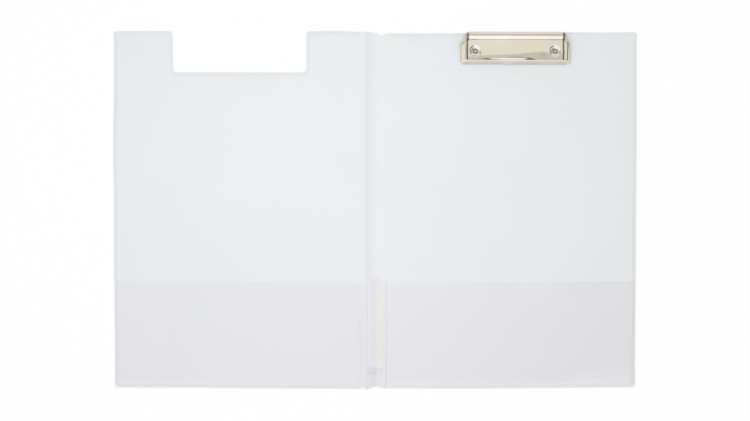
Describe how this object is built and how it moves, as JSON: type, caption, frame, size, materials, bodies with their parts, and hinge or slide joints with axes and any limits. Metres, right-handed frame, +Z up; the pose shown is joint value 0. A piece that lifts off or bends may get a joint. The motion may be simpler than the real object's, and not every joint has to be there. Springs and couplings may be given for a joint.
{
  "type": "clipboard folder",
  "caption": "Welded foil clipboard folder with a notched front cover, a sprung clip on the back cover, clear lower pockets and a pen sleeve on the spine.",
  "frame": {"origin": "on the table under the middle of the spine, with the folder lying open and its inner side up", "axes": "+Z up, +X from the spine to the back cover's free edge, +Y towards the edge with the clip"},
  "size_m": [0.469, 0.32, 0.0103],
  "materials": {
    "white_foil": "soft satin PVC foil with a fine grain",
    "clear_film": "clear glossy PVC film",
    "board": "matt greyboard",
    "nickel": "bright nickel plating",
    "spring_steel": "drawn spring wire"
  },
  "bodies": {
    "back": {"back_outer_foil": "white_foil", "back_board": "board", "back_inner_foil": "white_foil", "back_pocket": "clear_film", "clip_base_plate": "nickel", "clip_rivets": "nickel", "rivet_washers": "nickel", "torsion_spring_left": "spring_steel", "torsion_spring_right": "spring_steel"},
    "spine": {"spine_outer_foil": "white_foil", "spine_inner_foil": "white_foil", "pen_pocket": "clear_film"},
    "front": {"front_outer_foil": "white_foil", "front_board": "board", "front_inner_foil": "white_foil", "front_pocket": "clear_film"},
    "jaw": {"clip_jaw": "nickel", "clip_hinge_rod": "nickel"}
  },
  "joints": [
    {"name": "spine_crease", "type": "hinge", "parent": "back", "child": "spine", "pos_m": [0.0092, 0, 0.0003], "axis": [0, 1, 0], "range_deg": [-90, 90]},
    {"name": "cover_crease", "type": "hinge", "parent": "spine", "child": "front", "pos_m": [-0.0092, 0, 0.0003], "axis": [0, 1, 0], "range_deg": [-90, 90]},
    {"name": "jaw_hinge", "type": "hinge", "parent": "back", "child": "jaw", "pos_m": [0.1248, 0.1557, 0.00645], "axis": [-1, 0, 0], "range_deg": [0, 60], "stiffness_Nm_per_rad": 0.2, "springref_deg": -114.59, "deforming": ["torsion_spring_left", "torsion_spring_right"]}
  ]
}
